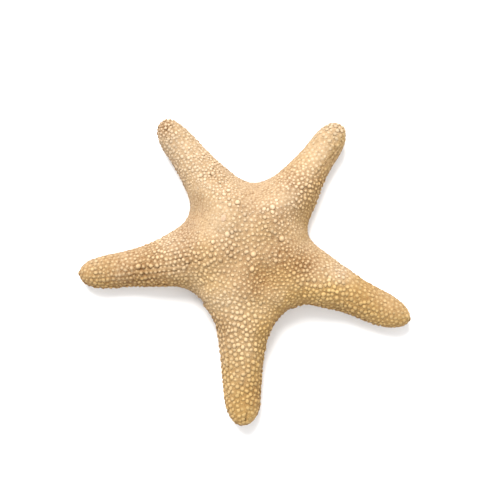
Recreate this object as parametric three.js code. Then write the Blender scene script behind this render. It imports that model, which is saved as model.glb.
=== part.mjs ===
// A dried five-armed starfish, lying on its underside on a flat surface.
//
// The animal grew as one piece, so it is one closed solid: a domed disc that runs out into
// five tapering arms, with an open groove under each arm that leads to the mouth.
//
// Frame: millimetres, +Z up. The origin is in the middle of the footprint, on the plane that
// the underside rests on. Every plan position below is taken from the middle of the disc.
import * as THREE from "three";
import { ParametricGeometry } from "three/addons/geometries/ParametricGeometry.js";
import { mergeGeometries, mergeVertices } from "three/addons/utils/BufferGeometryUtils.js";

// Where the middle of the disc, with the mouth under it, stands in the part's frame.
const DISC_CENTRE = new THREE.Vector2(2.9, 12.0);

// The arms, anticlockwise. Lengths are in millimetres.
//   tip     where the arm ends
//   bow     how far the arm's middle stands to the left of the straight line to its tip
//   root    half the arm's width at ROOT_AT from the middle of the disc
//   wrist   half its width where the rounded end begins
//   height  height of its back at ROOT_AT
//   curl    how far the dried tip has lifted off the surface
//   notch   how far the bay between this arm and the next one stays from the middle
const ARMS = [
  { tip: [41.0, 55.3], bow: -0.7, root: 12.0, wrist: 7.8, height: 19.0, curl: 4.0, notch: 29.5 },
  { tip: [-40.0, 56.6], bow: -1.0, root: 12.0, wrist: 7.9, height: 19.0, curl: 5.0, notch: 31.2 },
  { tip: [-77.4, -12.2], bow: 1.2, root: 13.2, wrist: 8.0, height: 19.5, curl: 1.5, notch: 31.3 },
  { tip: [-2.8, -80.8], bow: -1.6, root: 13.8, wrist: 8.8, height: 20.0, curl: 3.0, notch: 32.6 },
  { tip: [72.4, -33.0], bow: -0.8, root: 12.7, wrist: 8.1, height: 19.5, curl: 1.5, notch: 27.2 },
];

// Stations along an arm, as distances from the middle of the disc.
const DISC_REACH = 26; // the disc ends here, level with the bays
const WEB_REACH = 36; // the rounded bays run out into the arms' flanks here
const ROOT_AT = 32;
const TIP_LENGTH = 14; // of the rounded end
const TIP_BLUNTNESS = 2.1; // 2 would be a half ellipse
const TAPER = 1.8; // above 1 the arm narrows fastest near its root
const BOW_AT = 0.62; // share of the length, where the arm bends most
const CURL_SHARE = 0.4; // of the arm's length that lifts off the surface

// Heights above the surface.
const CROWN = 22.5; // middle of the disc, a little sunken
const SHOULDER = 24.0; // the highest place on an arm's ridge, on the disc
const SHOULDER_AT = 15;
const WRIST_HEIGHT = 12.5; // back of an arm where its rounded end begins
const MARGIN = 4.6; // where the sides stand out furthest, along the whole edge
const TIP_HEIGHT = 4.8; // middle of the rounded end

// The underside: a groove along the middle of each arm, and the pit of the mouth.
const GROOVE_WIDTH = 4.8;
const GROOVE_DEPTH = 3.4;
const GROOVE_TIP_SHARE = 0.45; // of both, left at the tip
const MOUTH_RADIUS = 5.2;
const MOUTH_DEPTH = 6.5;
const FLAT_SHARE = 0.74; // of the underside, across, that rests flat

// Mesh rows along an arm, and columns across its back.
const DISC_ROWS = 9;
const WEB_ROWS = 4;
const ARM_ROWS = 9;
const TIP_ROWS = 6;
const ROWS = DISC_ROWS + WEB_ROWS + ARM_ROWS + TIP_ROWS;
const BACK_COLUMNS = 12;
const MERGE_DISTANCE = 1e-3;

const { lerp, smoothstep } = THREE.MathUtils;
const quarterWave = (x) => Math.sin((x * Math.PI) / 2);

// An arm's line down the middle, its length and its half width, from its driving sizes.
function layOut(arm) {
  const tip = new THREE.Vector2(...arm.tip);
  const leftward = new THREE.Vector2(-tip.y, tip.x).normalize();
  const bend = tip.clone().multiplyScalar(BOW_AT).addScaledVector(leftward, 2 * arm.bow);
  const line = new THREE.QuadraticBezierCurve(new THREE.Vector2(), bend, tip);
  const length = line.getLength();
  const wristAt = length - TIP_LENGTH;

  const halfWidth = (s) => {
    const run = THREE.MathUtils.clamp((wristAt - s) / (wristAt - ROOT_AT), 0, 1.5);
    const tapered = arm.wrist + (arm.root - arm.wrist) * run ** TAPER;
    return tapered * tipShare(s);
  };
  // 1 along the arm, falling to 0 round its blunt end.
  const tipShare = (s) => {
    const run = THREE.MathUtils.clamp((s - wristAt) / TIP_LENGTH, 0, 1);
    return (1 - run ** TIP_BLUNTNESS) ** (1 / TIP_BLUNTNESS);
  };
  const point = (s) => line.getPointAt(s / length);
  const flank = (s, side) => {
    const along = line.getTangentAt(s / length);
    return point(s).add(new THREE.Vector2(-along.y, along.x).multiplyScalar(side * halfWidth(s)));
  };
  const inward = (s, side) => {
    const step = 0.5;
    return flank(s - step, side).sub(flank(s, side)).normalize();
  };
  return { ...arm, length, wristAt, halfWidth, tipShare, point, flank, inward };
}

// The rounded bay between an arm's left flank and the next arm's right flank, as one curve
// whose middle is the notch.
function bayBetween(arm, next) {
  const from = arm.flank(WEB_REACH, 1);
  const to = next.flank(WEB_REACH, -1);
  const fromIn = arm.inward(WEB_REACH, 1);
  const toIn = next.inward(WEB_REACH, -1);
  const middle = from.clone().add(to).multiplyScalar(0.5);
  const meanIn = fromIn.clone().add(toIn).multiplyScalar(0.5);
  const handle = (middle.length() - arm.notch) / (0.75 * meanIn.length());
  return new THREE.CubicBezierCurve(
    from,
    from.clone().addScaledVector(fromIn, handle),
    to.clone().addScaledVector(toIn, handle),
    to,
  );
}

const arms = ARMS.map(layOut);
const bays = arms.map((arm, i) => bayBetween(arm, arms[(i + 1) % arms.length]));

// How far along the arm a row of the mesh lies. Rows crowd towards the notches and the tip.
function rowAt(arm, row) {
  if (row <= DISC_ROWS) return DISC_REACH * quarterWave(row / DISC_ROWS);
  const webRow = row - DISC_ROWS;
  if (webRow <= WEB_ROWS) return lerp(DISC_REACH, WEB_REACH, webRow / WEB_ROWS);
  const armRow = webRow - WEB_ROWS;
  if (armRow <= ARM_ROWS) return lerp(WEB_REACH, arm.wristAt, armRow / ARM_ROWS);
  return lerp(arm.wristAt, arm.length, quarterWave((armRow - ARM_ROWS) / TIP_ROWS));
}

// The edge of an arm's share of the plan on one side, 1 for left and -1 for right: the line
// from the middle to the notch, then half the bay, then the flank.
function edgeAt(i, row, side) {
  const arm = arms[i];
  const bay = side > 0 ? bays[i] : bays[(i + arms.length - 1) % arms.length];
  if (row <= DISC_ROWS) return bay.getPoint(0.5).multiplyScalar(quarterWave(row / DISC_ROWS));
  if (row < DISC_ROWS + WEB_ROWS) {
    const half = (row - DISC_ROWS) / WEB_ROWS / 2;
    return bay.getPoint(side > 0 ? 0.5 - half : 0.5 + half);
  }
  return arm.flank(rowAt(arm, row), side);
}

// The ridge of an arm rises from the middle of the disc to its shoulder, falls to the arm's
// root and then evenly to the wrist.
function heightOfBack(arm, s) {
  if (s < SHOULDER_AT) return lerp(CROWN, SHOULDER, smoothstep(s, 0, SHOULDER_AT));
  const fall = (SHOULDER - arm.height) * smoothstep(s, SHOULDER_AT, ROOT_AT);
  const slope = (arm.height - WRIST_HEIGHT) / (arm.wristAt - ROOT_AT);
  return SHOULDER - fall - slope * THREE.MathUtils.clamp(s - ROOT_AT, 0, arm.wristAt - ROOT_AT);
}

// Every height of the cross-section at a row.
function sectionAt(i, row) {
  const arm = arms[i];
  const s = rowAt(arm, row);
  const end = arm.tipShare(s);
  const discShare = Math.min(row / DISC_ROWS, 1);
  const reach = quarterWave(discShare);

  const back = heightOfBack(arm, s);

  // Along the line to a notch the top rounds over to the margin, and the base rounds up to it.
  const over = (1 - reach ** 4) ** 0.6;
  const edgeTop = lerp(MARGIN, CROWN, over);
  const under = THREE.MathUtils.clamp((reach - FLAT_SHARE) / (1 - FLAT_SHARE), 0, 1);
  const edgeBase = MARGIN * (1 - Math.sqrt(1 - under ** 2));

  // Across, the top is level where two arms meet on the disc, and elliptical along an arm.
  const onDisc = lerp(1.6, 1, smoothstep(discShare, 0.75, 1));
  const roundness = lerp(onDisc, 0.55, smoothstep(s, DISC_REACH, WEB_REACH));

  const curlRun = Math.max(0, s / arm.length - (1 - CURL_SHARE)) / CURL_SHARE;
  const fade = lerp(1, GROOVE_TIP_SHARE, smoothstep(s, ROOT_AT, arm.length));
  return {
    back: lerp(TIP_HEIGHT, back, end),
    edgeTop: lerp(TIP_HEIGHT, edgeTop, end),
    edgeBase: lerp(TIP_HEIGHT, edgeBase, end),
    base: lerp(TIP_HEIGHT, 0, end),
    roundness,
    lift: arm.curl * curlRun ** 2,
    grooveHalf: (GROOVE_WIDTH / 2) * fade * end,
    grooveDepth: GROOVE_DEPTH * fade * end,
    pit: MOUTH_DEPTH * (1 - smoothstep(s, 0.55 * MOUTH_RADIUS, 1.25 * MOUTH_RADIUS)),
  };
}

// The point a share t across an arm at a row: -1 at its right edge, 0 in its middle, 1 at its left.
function planAt(i, row, t) {
  const middle = arms[i].point(rowAt(arms[i], row));
  return middle.lerp(edgeAt(i, row, Math.sign(t) || 1), Math.abs(t));
}

// The back of an arm and its fifth of the disc. u runs from the left edge to the right one.
function backOf(i) {
  return new ParametricGeometry(
    (u, v, target) => {
      const row = Math.round(v * ROWS);
      const t = quarterWave(1 - 2 * u);
      const { back, edgeTop, roundness, lift } = sectionAt(i, row);
      const plan = planAt(i, row, t);
      const z = edgeTop + (back - edgeTop) * Math.max(0, 1 - t * t) ** roundness;
      target.set(plan.x, plan.y, z + lift);
    },
    BACK_COLUMNS,
    ROWS,
  );
}

// The columns of the underside from an edge to the middle of the groove, as a share across:
// the rounded edge, the flat that rests on the surface, the groove's wall and its roof.
function undersideColumns(grooveShare) {
  const flatEnd = FLAT_SHARE;
  const lip = Math.min(grooveShare, 0.6 * flatEnd);
  return [1, 0.965, 0.88, flatEnd, (flatEnd + lip) / 2, lip, 0.8 * lip, 0.45 * lip, 0];
}

function undersideOf(i) {
  const half = undersideColumns(0).length - 1;
  return new ParametricGeometry(
    (u, v, target) => {
      const row = Math.round(v * ROWS);
      const section = sectionAt(i, row);
      const column = Math.round(u * 2 * half);
      const side = column <= half ? -1 : 1;
      const step = half - Math.abs(half - column);
      const middle = planAt(i, row, 0);
      const halfWidth = middle.distanceTo(planAt(i, row, side));
      const columns = undersideColumns(section.grooveHalf / Math.max(halfWidth, 1e-6));
      const plan = planAt(i, row, side * columns[step]);
      target.set(plan.x, plan.y, undersideHeight(section, columns, step) + section.lift);
    },
    2 * half,
    ROWS,
  );
}

function undersideHeight(section, columns, step) {
  const { base, edgeBase, grooveDepth, pit } = section;
  const [flatStep, lipStep, wallStep] = [3, 5, 6];
  let z = base;
  if (step < flatStep) {
    const out = (columns[step] - FLAT_SHARE) / (1 - FLAT_SHARE);
    z = lerp(base, edgeBase, 1 - Math.sqrt(1 - out * out));
  }
  if (step === wallStep) z = base + 0.6 * grooveDepth;
  if (step > wallStep) z = base + grooveDepth;
  return step >= lipStep || pit > 0 ? Math.max(z, pit) : z;
}

// One closed geometry from open ones that share their edges, without the triangles that
// shrink to nothing in the middle of the disc and at the tips.
function sewn(pieces) {
  const bare = pieces.map((piece) => {
    const places = piece.toNonIndexed();
    places.deleteAttribute("normal");
    places.deleteAttribute("uv");
    return places;
  });
  const merged = mergeVertices(mergeGeometries(bare), MERGE_DISTANCE);
  const corners = merged.index.array;
  const kept = [];
  for (let k = 0; k < corners.length; k += 3) {
    const [a, b, c] = corners.subarray(k, k + 3);
    if (a !== b && b !== c && c !== a) kept.push(a, b, c);
  }
  merged.setIndex(kept);
  merged.computeVertexNormals();
  return merged;
}

const driedSkin = new THREE.MeshStandardMaterial({ color: "#d9b888", roughness: 0.8, metalness: 0 });

const body = sewn(arms.flatMap((_, i) => [backOf(i), undersideOf(i)]));
const starfish = new THREE.Mesh(body, driedSkin);
starfish.name = "starfish";
starfish.position.set(DISC_CENTRE.x, DISC_CENTRE.y, 0);

const part = new THREE.Group();
part.name = "dried_starfish";
part.add(starfish);

export default part;
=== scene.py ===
import math

import bpy
import numpy as np
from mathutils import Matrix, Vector
from mathutils.bvhtree import BVHTree
from mathutils.kdtree import KDTree


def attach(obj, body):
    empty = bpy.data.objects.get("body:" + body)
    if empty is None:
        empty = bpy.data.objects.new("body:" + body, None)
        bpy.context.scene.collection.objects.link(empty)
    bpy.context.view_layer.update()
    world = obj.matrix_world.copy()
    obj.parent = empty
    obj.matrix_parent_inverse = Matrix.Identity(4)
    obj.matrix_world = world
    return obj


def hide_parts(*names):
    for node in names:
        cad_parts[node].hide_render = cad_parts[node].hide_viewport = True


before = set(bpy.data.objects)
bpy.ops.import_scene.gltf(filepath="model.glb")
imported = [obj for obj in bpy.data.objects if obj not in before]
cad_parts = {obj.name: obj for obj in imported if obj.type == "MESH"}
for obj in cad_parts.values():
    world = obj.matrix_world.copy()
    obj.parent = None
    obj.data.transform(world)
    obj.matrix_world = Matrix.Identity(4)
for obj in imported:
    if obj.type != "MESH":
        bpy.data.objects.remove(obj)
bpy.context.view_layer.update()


# ------------------------------
# The skin: the leathery hide of the dried starfish, shrunk tight over its skeleton, so it shows
# a ridge along each arm, the sunken middle of the disc, and furrows where the arms dried thin.
# It is one sheet all round the body, and its back is pushed up by a net of small chalky plates.

MM = 0.001
SKIN_CELL = 0.55 * MM
SKIN_INSET = 0.42  # mm that the skin stays inside the full size, because its beads stand proud
SOLE_LEVEL = 0.35  # mm that the skin stays above the table, for the granules under it
DISC_CENTRE = np.array([2.9, 12.0])  # all plan positions below are in mm from here

UPPER_RIGHT, UPPER_LEFT, LEFT, LOWER, RIGHT = range(5)
# The tip of each arm in that order, and how far the arm bows to its left on the way there.
ARMS = [
    ((41.0, 55.3), -0.7),
    ((-40.0, 56.6), -1.0),
    ((-77.4, -12.2), 1.2),
    ((-2.8, -80.8), -1.6),
    ((72.4, -33.0), -0.8),
]
BOW_AT = 0.62  # of the way out, where an arm bends most


def smoothstep(x, low, high):
    x = np.clip((x - low) / (high - low), 0.0, 1.0)
    return x * x * (3 - 2 * x)


def patch(plan, x, y, radius):
    """1 in the middle of a soft round patch, falling to 0 around it."""
    return np.exp(-((plan[:, 0] - x) ** 2 + (plan[:, 1] - y) ** 2) / radius**2)


def left_of(direction):
    return np.array([-direction[1], direction[0]])


def arm_line(tip, bow, steps=160):
    """Evenly spaced points along the middle of an arm, their directions and their distances out."""
    tip = np.array(tip)
    left = left_of(tip) / np.linalg.norm(tip)
    bend = BOW_AT * tip + 2 * bow * left
    u = np.linspace(0, 1, 400)[:, None]
    line = 2 * u * (1 - u) * bend + u**2 * tip
    out = np.concatenate([[0], np.cumsum(np.linalg.norm(np.diff(line, axis=0), axis=1))])
    even = np.linspace(0, out[-1], steps)
    line = np.stack([np.interp(even, out, line[:, k]) for k in (0, 1)], axis=1)
    along = np.gradient(line, axis=0)
    along /= np.linalg.norm(along, axis=1)[:, None]
    return line, along, even


LINES = [arm_line(tip, bow) for tip, bow in ARMS]


def place_on_arms(plan):
    """For plan points in mm from the disc's middle: the nearest arm, how far out along it they
    are, and how far to the left of its middle."""
    best = np.full(len(plan), np.inf)
    which = np.zeros(len(plan), int)
    out = np.zeros(len(plan))
    side = np.zeros(len(plan))
    for i, (line, along, even) in enumerate(LINES):
        tree = KDTree(len(line))
        for k, p in enumerate(line):
            tree.insert((p[0], p[1], 0), k)
        tree.balance()
        near = np.array([tree.find((p[0], p[1], 0))[1] for p in plan])
        away = plan - line[near]
        gap = np.linalg.norm(away, axis=1)
        closer = gap < best
        best = np.where(closer, gap, best)
        which = np.where(closer, i, which)
        a = along[near]
        out = np.where(closer, even[near], out)
        side = np.where(closer, a[:, 0] * away[:, 1] - a[:, 1] * away[:, 0], side)
    return which, out, side


def in_scene(name, data):
    """A new object in the scene."""
    made = bpy.data.objects.new(name, data)
    bpy.context.scene.collection.objects.link(made)
    return made


def merged_copy(node):
    """The CAD body as one welded mesh, so that it can be remeshed."""
    welded = in_scene("welded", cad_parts[node].data.copy())
    weld = welded.modifiers.new("weld", "WELD")
    weld.merge_threshold = 0.01 * MM
    return welded


def evaluated_mesh(obj, name):
    graph = bpy.context.evaluated_depsgraph_get()
    mesh = bpy.data.meshes.new_from_object(obj.evaluated_get(graph))
    mesh.name = name
    return mesh


def vertices_of(mesh):
    at = np.empty(len(mesh.vertices) * 3)
    mesh.vertices.foreach_get("co", at)
    return at.reshape(-1, 3)


def normals_of(mesh):
    facing = np.empty(len(mesh.vertices) * 3)
    mesh.vertex_normals.foreach_get("vector", facing)
    return facing.reshape(-1, 3)


welded = merged_copy("starfish")
remesh = welded.modifiers.new("even_cells", "REMESH")
remesh.mode = "VOXEL"
remesh.voxel_size = SKIN_CELL
settle = welded.modifiers.new("settle", "SMOOTH")
settle.factor = 0.5
settle.iterations = 7
skin_mesh = evaluated_mesh(welded, "starfish_skin")
bpy.data.objects.remove(welded)
skin = in_scene("starfish_skin", skin_mesh)

# The back is smoothed further, so that the arms run into the disc without a crease.
facing = normals_of(skin_mesh)
upper = skin.vertex_groups.new(name="upper")
upward = smoothstep(facing[:, 2], -0.2, 0.35)
for i in np.nonzero(upward > 0)[0]:
    upper.add([int(i)], float(upward[i]), "REPLACE")
drape = skin.modifiers.new("drape", "SMOOTH")
drape.vertex_group = "upper"
drape.factor = 0.5
drape.iterations = 31
draped = evaluated_mesh(skin, "starfish_skin")
skin.modifiers.clear()
skin.vertex_groups.clear()
skin.data = draped
bpy.data.meshes.remove(skin_mesh)
skin_mesh = draped
skin_mesh.name = "starfish_skin"

# Swellings and hollows of the back: x, y, radius and height in mm.
RELIEF = [
    (-9, 23, 7, 1.3), (14, 24, 6.5, 1.2), (-13, 8, 6, 0.8), (-26, 2, 7, 0.7),
    (-8, -18, 7, 0.6), (4.5, -14.5, 6.5, -1.6), (10, -20, 6, -0.8), (17, 13, 5.5, -0.9),
    (0, 12, 5, -0.5), (-22, 15, 6, -0.5), (24, -6, 6, 0.6), (-18, -25, 9, 4.2),
    (-40, -17, 6, 0.8), (9, -33, 7, 2), (52, -32, 6, 0.7), (18, -24, 9, 3),
    (39.5, 52, 4.5, 0.5), (32, -21, 7, 1.2), (14, -8, 8, -2),
]

# Where the flanks of the arms bulge or have shrunk in: x, y and how far, in mm.
FLANK_REACH = 6.0
FLANKS = [
    (-69.8, -5, -0.7), (-35.6, 6.3, 0.8), (-30, 10.8, 0.7), (-34.7, -18, -0.7),
    (-18.5, -27, 0.7), (8.6, -42.3, -0.6), (6.8, -53, -0.5), (5, -66.6, -0.4),
    (23.9, -25.7, -0.5), (41, -29.7, -0.6), (64.4, -36.7, -0.5), (68.9, -24.8, -0.8),
    (36.5, -4.5, 0.5), (45.5, -11.3, 0.4), (-29.3, 54.5, -0.7), (-27.5, 20.7, -0.4),
    (11.3, 32.9, -0.5), (29, 19, 0.4), (-10.8, -73.8, -0.6),
]

# Furrows along the arms: arm, how far to the left of its middle, from, to, width and depth.
FURROWS = [
    (LEFT, -1.3, 26, 46, 0.45, 0.45),
    (LEFT, 1.7, 18, 58, 0.45, 0.6),
    (LEFT, 4.0, 26, 60, 0.45, 0.45),
    (LEFT, 6.4, 34, 62, 0.45, 0.35),
    (RIGHT, -3.0, 30, 58, 0.6, 0.25),
    (UPPER_RIGHT, -4.6, 38, 66, 0.5, 0.35),
    (UPPER_RIGHT, -6.0, 48, 66, 0.4, 0.3),
]

# Short cracks and pits where the hide puckered: from x, y to x, y, width and depth.
CRACKS = [
    (-1.2, -74.8, -1.9, -78.6, 0.45, 0.9),
    (-15.8, 35.4, -13.4, 34.0, 0.5, 0.5),
    (-15.4, 31.2, -12.4, 29.4, 0.5, 0.45),
    (-17.6, 32.6, -15.8, 29.6, 0.5, 0.4),
    (-39.6, 53.6, -38.4, 55.4, 0.5, 0.5),
    (-38.4, 55.4, -36.0, 55.6, 0.5, 0.5),
    (-36.0, 55.6, -34.8, 53.8, 0.5, 0.4),
    (39.6, 53.6, 41.4, 49.0, 0.45, 0.6),
    (41.4, 49.0, 41.0, 45.0, 0.45, 0.4),
    (37.2, 50.0, 38.6, 45.4, 0.45, 0.45),
    (38.6, 45.4, 37.6, 41.0, 0.45, 0.45),
]


def crack_depth(plan, arm, out, side):
    """How deep the furrows and cracks cut at each place, in mm."""
    cut = np.zeros(len(plan))
    for i, left, start, end, width, depth in FURROWS:
        wander = 0.5 * np.sin(out * 0.19 + i)
        run = smoothstep(out, start, start + 6) * (1 - smoothstep(out, end - 6, end))
        groove = np.exp(-(((side - left - wander) / width) ** 2))
        cut = np.maximum(cut, depth * groove * run * (arm == i))
    for x0, y0, x1, y1, width, depth in CRACKS:
        run = np.array([x1 - x0, y1 - y0])
        share = np.clip((plan - [x0, y0]) @ run / (run @ run), 0, 1)[:, None]
        away = np.linalg.norm(plan - [x0, y0] - share * run, axis=1)
        cut = np.maximum(cut, depth * np.exp(-((away / width) ** 2)))
    return cut


at = vertices_of(skin_mesh) / MM
facing = normals_of(skin_mesh)
plan = at[:, :2] - DISC_CENTRE
arm_of, out_of, side_of = place_on_arms(plan)
back = smoothstep(facing[:, 2], 0.0, 0.6)
cut = crack_depth(plan, arm_of, out_of, side_of) * back
push = -cut
for x, y, radius, height in RELIEF:
    push += height * patch(plan, x, y, radius)
flank = np.zeros(len(at))
for x, y, out in FLANKS:
    flank += out * patch(plan, x, y, FLANK_REACH)
push = push * back + flank * (1 - back) - SKIN_INSET
at = at + facing * push[:, None]
at[:, 2] = np.maximum(at[:, 2], SOLE_LEVEL)
skin_mesh.vertices.foreach_set("co", (at * MM).ravel())
skin_mesh.update()
facing = normals_of(skin_mesh)


# Where the plates of the back sit. On the arms they stand in rows, on the disc they don't.
PLATE_PITCH = 2.15
PITCH_OF_ARM = {UPPER_RIGHT: 1.95, UPPER_LEFT: 1.6, LEFT: 2.0, LOWER: 2.3, RIGHT: 2.15}
TIP_CLOSER = 0.14  # how much closer the plates stand at the tips
# The thin webs between the arms have smaller plates: direction in degrees, and how much.
WEBS = [(83, 1.0), (153, 1.0), (13, 0.8), (227, 0.35), (303, 0.3)]
WEB_SPREAD = 24  # degrees to either side
WEB_PITCH = 1.2
FINE_PATCH = (10.0, -14.0, 13.0)  # x, y and radius of a stretch of the disc with finer plates
FINE_CLOSER = 0.2
CLOUD_PER_MM2 = 6  # points that stand for the surface when it is shared out between the plates
SEED_GAP = 0.8  # of the pitch, which seeds leave between them before they settle
LARGE_GAP = 1.5  # of its radius, which a large plate keeps clear
LEAST_POINTS = 2  # a plate with no more of the cloud than this has no skin of its own
# The rows of an arm run side by side round its back, from one side to the other.
ROWS = 13
ROW_LEAN = 96  # degrees from upright, of the outermost row
ROW_START = 24.0  # mm out along the arm
ROW_END = 2.0  # mm short of the tip
ROW_JITTER = 0.16  # of the pitch, along the row
CORE_HEIGHT = 5.5  # mm above the table, where the middle of an arm lies
ABOVE = 60  # mm above the table, clear of the back
# A few plates are larger and paler than the rest: x, y and radius.
LARGE_PLATES = [
    (-5.6, 19.8, 1.6), (9.9, 17.6, 1.65), (6.3, 16.7, 1.3), (-10.1, 5.6, 1.7), (14, 3.7, 1.8),
    (1.5, -3.2, 1.8), (0.9, -9.8, 1.6), (-49.9, -8.6, 1.6), (-16.4, 2.2, 1.4), (-9.6, 25, 1.3),
]
# Patches where the beads have worn or dried down nearly flat: x, y, radius and how much.
WORN = [
    (31, 43, 11, 0.72), (21, 35, 7, 0.55), (3, 27, 9, 0.6), (-19, 14, 9, 0.75),
    (-12, 13, 4, 0.9), (-23, 25, 7, 0.45), (-31, 47, 9, 0.38), (-58, -3, 9, 0.6),
    (62, -20, 9, 0.6), (49, -16, 7, 0.5), (34, -5, 5, 0.5), (68, -30, 7, 0.4),
    (25, 6, 6, 0.5), (15, 23, 5, 0.7), (-1, -77, 6, 0.5), (-74, -11, 5, 0.5),
]


def worn_at(plan):
    """How much of their height the beads have left: 1 where nothing has worn them."""
    left = np.ones(len(plan))
    for x, y, radius, amount in WORN:
        left *= 1 - amount * patch(plan, x, y, radius)
    return left


def web_share(plan):
    """1 in the middle of a thin web between two arms and 0 on the disc and the arms."""
    radius = np.linalg.norm(plan, axis=1)
    heading = np.degrees(np.arctan2(plan[:, 1], plan[:, 0]))
    share = np.zeros(len(plan))
    for direction, amount in WEBS:
        turn = (heading - direction + 180) % 360 - 180
        share = np.maximum(share, amount * np.exp(-((turn / WEB_SPREAD) ** 2)))
    return share * smoothstep(radius, 11, 22) * (1 - smoothstep(radius, 38, 48))


def pitch_at(plan, arm_of, out_of):
    """How far apart the plates stand at each place, in mm."""
    on_arm = np.array([PITCH_OF_ARM[i] for i in range(5)])[arm_of]
    pitch = PLATE_PITCH + (on_arm - PLATE_PITCH) * smoothstep(out_of, 20, 34)
    pitch = pitch * (1 - TIP_CLOSER * smoothstep(out_of, 56, 80))
    pitch *= 1 - FINE_CLOSER * patch(plan, *FINE_PATCH)
    return pitch + (WEB_PITCH - pitch) * web_share(plan)


def cloud_on(mesh, at, facing, keep, per_mm2, rng):
    """Random points spread evenly over the triangles that keep allows, with their normals."""
    mesh.calc_loop_triangles()
    corner = np.empty(len(mesh.loop_triangles) * 3, int)
    mesh.loop_triangles.foreach_get("vertices", corner)
    corner = corner.reshape(-1, 3)
    corner = corner[keep[corner].all(axis=1)]
    a, b, c = (at[corner[:, k]] for k in range(3))
    area = np.linalg.norm(np.cross(b - a, c - a), axis=1) / 2
    count = int(area.sum() * per_mm2)
    pick = rng.choice(len(corner), count, p=area / area.sum())
    u, v = rng.random((2, count, 1))
    flip = u + v > 1
    u, v = np.where(flip, 1 - u, u), np.where(flip, 1 - v, v)
    points = a[pick] + u * (b - a)[pick] + v * (c - a)[pick]
    n_a, n_b, n_c = (facing[corner[pick, k]] for k in range(3))
    n = n_a * (1 - u - v) + n_b * u + n_c * v
    return points, n / np.linalg.norm(n, axis=1)[:, None]


def spread_out(points, gap):
    """Goes through the points in order and keeps each one that has room beside those kept."""
    cell = float(gap.max())
    grid = {}
    kept = []
    neighbours = [(i, j, k) for i in (-1, 0, 1) for j in (-1, 0, 1) for k in (-1, 0, 1)]
    rows = points.tolist()
    gaps = gap.tolist()
    for n, (x, y, z) in enumerate(rows):
        home = (int(x // cell), int(y // cell), int(z // cell))
        room = True
        for i, j, k in neighbours:
            for m in grid.get((home[0] + i, home[1] + j, home[2] + k), ()):
                px, py, pz = rows[m]
                need = 0.5 * (gaps[n] + gaps[m])
                if (px - x) ** 2 + (py - y) ** 2 + (pz - z) ** 2 < need * need:
                    room = False
                    break
            if not room:
                break
        if room:
            kept.append(n)
            grid.setdefault(home, []).append(n)
    return np.array(kept)


def tree_of(points):
    tree = KDTree(len(points))
    for i, p in enumerate(points):
        tree.insert(p, i)
    tree.balance()
    return tree


def owners(points, cloud):
    """For each place of the cloud, which point is nearest."""
    tree = tree_of(points)
    return np.array([tree.find(p)[1] for p in cloud])


def relaxed(points, cloud, cloud_tree, pitch, rounds, fixed=0):
    """Moves each point to the middle of the area that is nearest to it, over and over."""
    weight = pitch**-4
    for _ in range(rounds):
        owner = owners(points, cloud)
        total = np.maximum(np.bincount(owner, weight, len(points)), 1e-9)
        middle = [np.bincount(owner, weight * cloud[:, k], len(points)) / total for k in range(3)]
        moved = np.stack(middle, axis=1)
        moved = np.array([cloud_tree.find(p)[0] for p in moved])
        points = np.concatenate([points[:fixed], moved[fixed:]])
    return points


def areas_of(points, cloud, cloud_facing):
    """How far the area nearest to each point reaches around it, and which way that area faces."""
    owner = owners(points, cloud)
    places = np.maximum(np.bincount(owner, minlength=len(points)), 1)
    sums = [np.bincount(owner, cloud_facing[:, k], len(points)) for k in range(3)]
    facing = np.stack(sums, axis=1)
    facing /= np.maximum(np.linalg.norm(facing, axis=1), 1e-9)[:, None]
    return np.sqrt(places / CLOUD_PER_MM2 / math.pi), facing


def back_under(x, y):
    """Where a line straight down onto the back meets it, and the normal there."""
    start = Vector((x + DISC_CENTRE[0], y + DISC_CENTRE[1], ABOVE))
    return surface.ray_cast(start, Vector((0, 0, -1)))[:2]


rng = np.random.default_rng(11)
on_back = facing[:, 2] > -0.45
cloud, cloud_facing = cloud_on(skin_mesh, at, facing, on_back, CLOUD_PER_MM2, rng)
cloud_tree = tree_of(cloud)
cloud_plan = cloud[:, :2] - DISC_CENTRE
cloud_arm, cloud_out, _ = place_on_arms(cloud_plan)
cloud_pitch = pitch_at(cloud_plan, cloud_arm, cloud_out)
surface = BVHTree.FromPolygons(at.tolist(), [list(p.vertices) for p in skin_mesh.polygons])

# Rows of plates along each arm, from rays out of its middle. Those of the left arm are straightest.
rows = []
for i, (line, along, even) in enumerate(LINES):
    pitch = PITCH_OF_ARM[i]
    for row in range(ROWS):
        lean = math.radians(-ROW_LEAN + 2 * ROW_LEAN * row / (ROWS - 1))
        for s in np.arange(ROW_START, even[-1] - ROW_END, pitch):
            s = s + 0.5 * pitch * (row % 2) + rng.normal(0, ROW_JITTER * pitch)
            tilt = lean + rng.normal(0, 0.02 if i == LEFT else 0.04)
            k = int(np.clip(np.searchsorted(even, s), 0, len(even) - 1))
            left = left_of(along[k])
            ray = Vector((left[0] * math.sin(tilt), left[1] * math.sin(tilt), math.cos(tilt)))
            start = Vector((*(line[k] + DISC_CENTRE), CORE_HEIGHT))
            hit = surface.ray_cast(start, ray)[0]
            if hit is not None:
                rows.append(hit)

# The large plates come first, then the rows, and the rest of the back fills up around them.
large = np.array([back_under(x, y)[0] for x, y, _ in LARGE_PLATES])
order = rng.permutation(len(cloud))
rows = np.array(rows)
rows = rows[rng.permutation(len(rows))]
seeds = np.concatenate([large, rows, cloud[order]])
seed_plan = seeds[:, :2] - DISC_CENTRE
seed_arm, seed_out, _ = place_on_arms(seed_plan)
gap = SEED_GAP * pitch_at(seed_plan, seed_arm, seed_out)
gap[: len(large)] = [LARGE_GAP * radius for _, _, radius in LARGE_PLATES]
kept = spread_out(seeds, gap)
placed = int((kept < len(large) + len(rows)).sum())
plates = relaxed(seeds[kept], cloud, cloud_tree, cloud_pitch, rounds=2, fixed=placed)
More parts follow.
